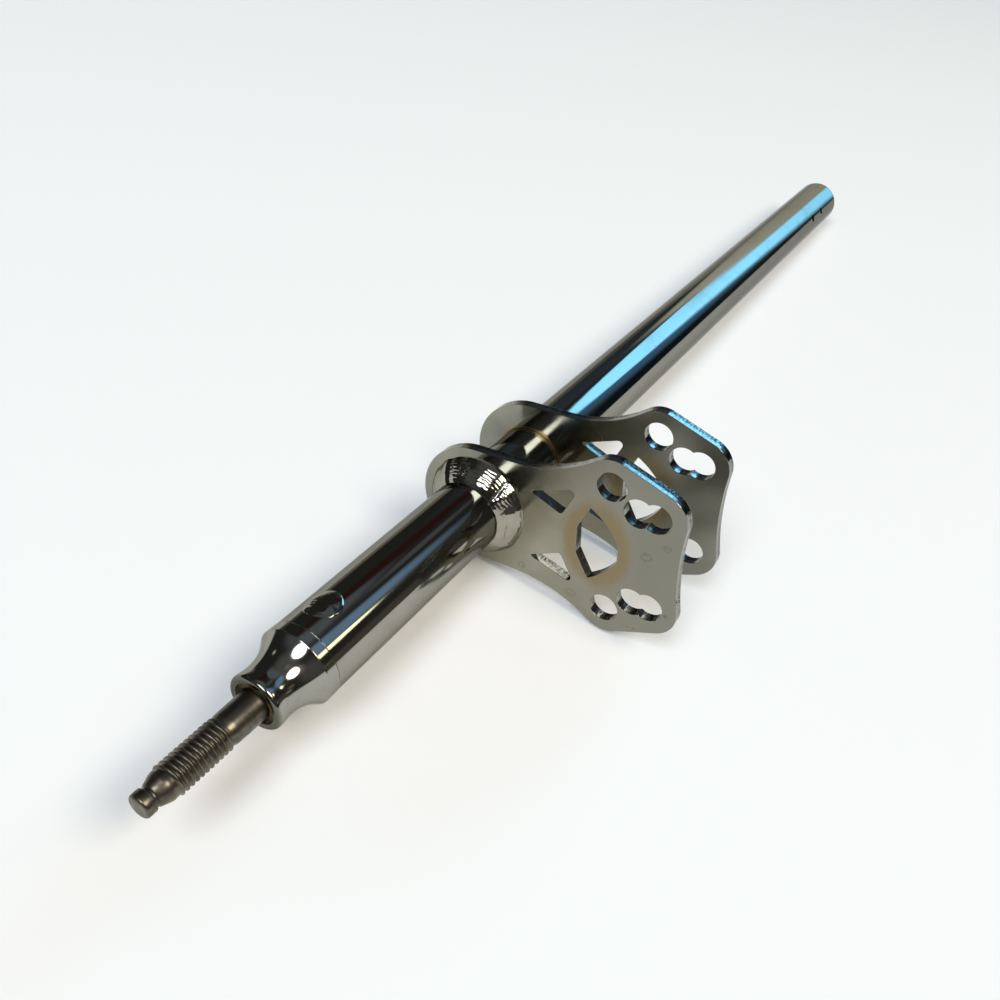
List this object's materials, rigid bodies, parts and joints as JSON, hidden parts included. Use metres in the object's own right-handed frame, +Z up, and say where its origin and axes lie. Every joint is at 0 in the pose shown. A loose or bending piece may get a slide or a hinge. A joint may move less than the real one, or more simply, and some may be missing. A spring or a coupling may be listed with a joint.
{
  "type": "kart steering column",
  "caption": "Straight plated steering column for a racing kart: a tube with twin drilled tie-rod arm plates welded on and a threaded stud in its plugged lower end.",
  "frame": {"origin": "under the middle of the part's box, on the ground it lies on", "axes": "+Z up; +X from the stud end to the wheel end, the tube falling 1.4 degrees towards +X because it rests on its far end and on the upper plate; the arms point to -Y and rise 13 degrees"},
  "size_m": [0.446, 0.0793, 0.0536],
  "materials": {
    "bright_plating": "bright plating over a drawn steel tube, mirror-like with fine draw lines",
    "satin_plating": "satin plating over laser-cut sheet steel, warm grey with small stains",
    "weld_metal": "plated weld beads with rippled, semi-bright surface",
    "bare_steel": "unplated oiled steel, brown-grey and semi-matt",
    "braze": "dull golden-brown braze"
  },
  "bodies": {
    "root": {"column_tube": "bright_plating", "end_plug": "bright_plating", "lower_stud": "bare_steel", "stud_braze_ring": "braze", "lower_arm_plate": "satin_plating", "upper_arm_plate": "satin_plating", "lower_plate_weld": "weld_metal", "upper_plate_weld": "weld_metal", "plug_weld_front": "weld_metal", "plug_weld_back": "weld_metal"}
  },
  "joints": []
}
